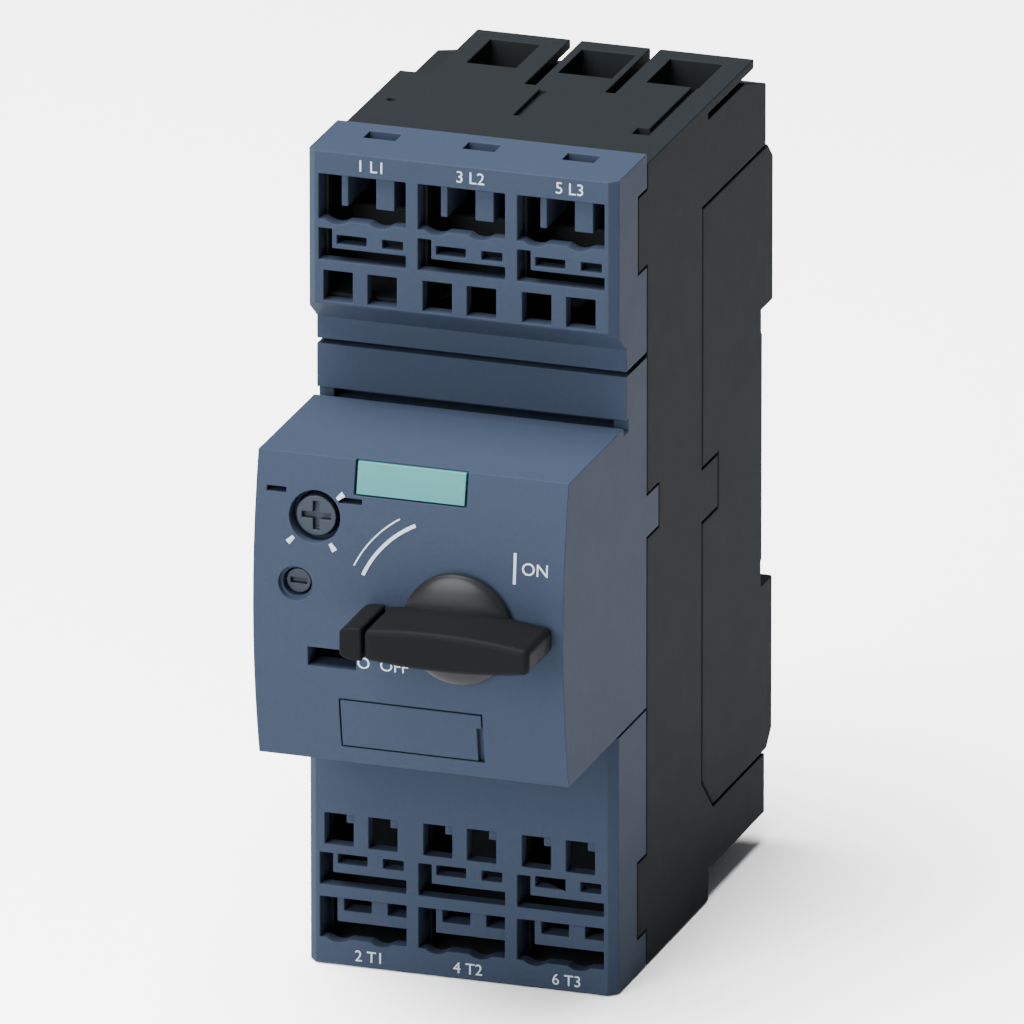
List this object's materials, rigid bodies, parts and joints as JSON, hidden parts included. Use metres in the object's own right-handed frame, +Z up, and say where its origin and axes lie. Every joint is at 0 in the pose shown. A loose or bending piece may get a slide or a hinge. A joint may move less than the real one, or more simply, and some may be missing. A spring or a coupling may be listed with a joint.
{
  "type": "motor protection breaker",
  "caption": "Rail-mounted motor protection breaker with a rotary handle, current setting dial, test button and spring-loaded terminals at both ends.",
  "frame": {"origin": "centre of the flat rail seat at the back", "axes": "+Z up towards the line terminals, -Y towards the handle, +X to the right seen from the front"},
  "size_m": [0.045, 0.103, 0.119],
  "materials": {
    "cover_plastic": "fine matt texture",
    "housing_plastic": "fine matt texture",
    "knob_plastic": "satin",
    "control_plastic": "satin",
    "badge_colour": "printed, smooth",
    "print_white": "pad printed marking",
    "inner_plastic": "moulded",
    "inner_steel": "plated",
    "contact_copper": "bare copper"
  },
  "bodies": {
    "body": {"arc_chute_lower_1": "inner_steel", "arc_chute_lower_2": "inner_steel", "arc_chute_lower_3": "inner_steel", "arc_chute_upper_1": "inner_steel", "arc_chute_upper_2": "inner_steel", "arc_chute_upper_3": "inner_steel", "badge_plate": "badge_colour", "bimetal_1": "inner_steel", "bimetal_2": "inner_steel", "bimetal_3": "inner_steel", "front_cover": "cover_plastic", "front_housing": "housing_plastic", "label_plate": "cover_plastic", "lever_pin": "inner_steel", "line_bar_1": "contact_copper", "line_bar_2": "contact_copper", "line_bar_3": "contact_copper", "load_bar_1": "contact_copper", "load_bar_2": "contact_copper", "load_bar_3": "contact_copper", "lower_clamp_1": "inner_steel", "lower_clamp_2": "inner_steel", "lower_clamp_3": "inner_steel", "lower_fixed_contact_1": "contact_copper", "lower_fixed_contact_2": "contact_copper", "lower_fixed_contact_3": "contact_copper", "lower_terminal_cover": "cover_plastic", "magnet_coil_1": "contact_copper", "magnet_coil_2": "contact_copper", "magnet_coil_3": "contact_copper", "main_spring": "inner_steel", "mechanism_frame": "inner_steel", "rail_latch_spring": "inner_steel", "rear_housing": "housing_plastic", "test_spring": "inner_steel", "trip_lever_pin": "inner_steel", "upper_clamp_1": "inner_steel", "upper_clamp_2": "inner_steel", "upper_clamp_3": "inner_steel", "upper_terminal_cover": "cover_plastic"},
    "knob": {"rotary_knob": "knob_plastic", "knob_shaft": "inner_plastic"},
    "lock_tab": {"knob_lock_tab": "knob_plastic"},
    "dial": {"setting_dial": "control_plastic"},
    "test_button": {"test_plunger": "control_plastic"},
    "rail_latch": {"rail_latch": "control_plastic"},
    "toggle": {"toggle_lever": "inner_plastic"},
    "carrier": {"contact_carrier": "inner_plastic", "moving_contact_1": "contact_copper", "moving_contact_2": "contact_copper", "moving_contact_3": "contact_copper", "contact_spring_1": "inner_steel", "contact_spring_2": "inner_steel", "contact_spring_3": "inner_steel"},
    "trip_slide": {"trip_slide": "inner_plastic"},
    "trip_lever": {"trip_lever": "inner_plastic"},
    "striker_1": {"striker_1": "inner_steel"},
    "striker_2": {"striker_2": "inner_steel"},
    "striker_3": {"striker_3": "inner_steel"}
  },
  "joints": [
    {"name": "knob_turn", "type": "hinge", "parent": "body", "child": "knob", "pos_m": [0.0075, -0.0875, 0.0015], "axis": [0, 1, 0], "range_deg": [0, 90]},
    {"name": "lock_tab_pull", "type": "slide", "parent": "knob", "child": "lock_tab", "axis": [-1, 0, 0], "range_m": [0, 0.006]},
    {"name": "dial_turn", "type": "hinge", "parent": "body", "child": "dial", "pos_m": [-0.0138, -0.0856, 0.0148], "axis": [0, 1, 0], "range_deg": [-140, 140]},
    {"name": "test_press", "type": "slide", "parent": "body", "child": "test_button", "axis": [0, 1, 0], "range_m": [0, 0.002], "stiffness_N_per_m": 500},
    {"name": "rail_latch_pull", "type": "slide", "parent": "body", "child": "rail_latch", "axis": [0, 0, -1], "range_m": [0, 0.003], "stiffness_N_per_m": 2000, "deforming": ["rail_latch_spring"]},
    {"name": "toggle_swing", "type": "hinge", "parent": "body", "child": "toggle", "pos_m": [0.0075, -0.0349, 0.0005], "axis": [-1, 0, 0], "range_deg": [0, 24]},
    {"name": "carrier_travel", "type": "slide", "parent": "body", "child": "carrier", "axis": [0, 1, 0], "range_m": [0, 0.0043]},
    {"name": "trip_slide_travel", "type": "slide", "parent": "body", "child": "trip_slide", "axis": [1, 0, 0], "range_m": [0, 0.002], "stiffness_N_per_m": 50},
    {"name": "trip_lever_swing", "type": "hinge", "parent": "body", "child": "trip_lever", "pos_m": [-0.008, -0.0467, -0.015], "axis": [0, 1, 0], "range_deg": [-12.9, 0]},
    {"name": "striker_1_lift", "type": "slide", "parent": "body", "child": "striker_1", "axis": [0, 0, 1], "range_m": [0, 0.0022], "stiffness_N_per_m": 100},
    {"name": "striker_2_lift", "type": "slide", "parent": "body", "child": "striker_2", "axis": [0, 0, 1], "range_m": [0, 0.0022], "stiffness_N_per_m": 100},
    {"name": "striker_3_lift", "type": "slide", "parent": "body", "child": "striker_3", "axis": [0, 0, 1], "range_m": [0, 0.0022], "stiffness_N_per_m": 100}
  ],
  "couplings": [
    {"joint": "knob_turn", "follows": "carrier_travel", "rad_per_m": 365.29},
    {"joint": "toggle_swing", "follows": "carrier_travel", "rad_per_m": 97.41},
    {"joint": "trip_lever_swing", "follows": "trip_slide_travel", "rad_per_m": -111.7}
  ]
}
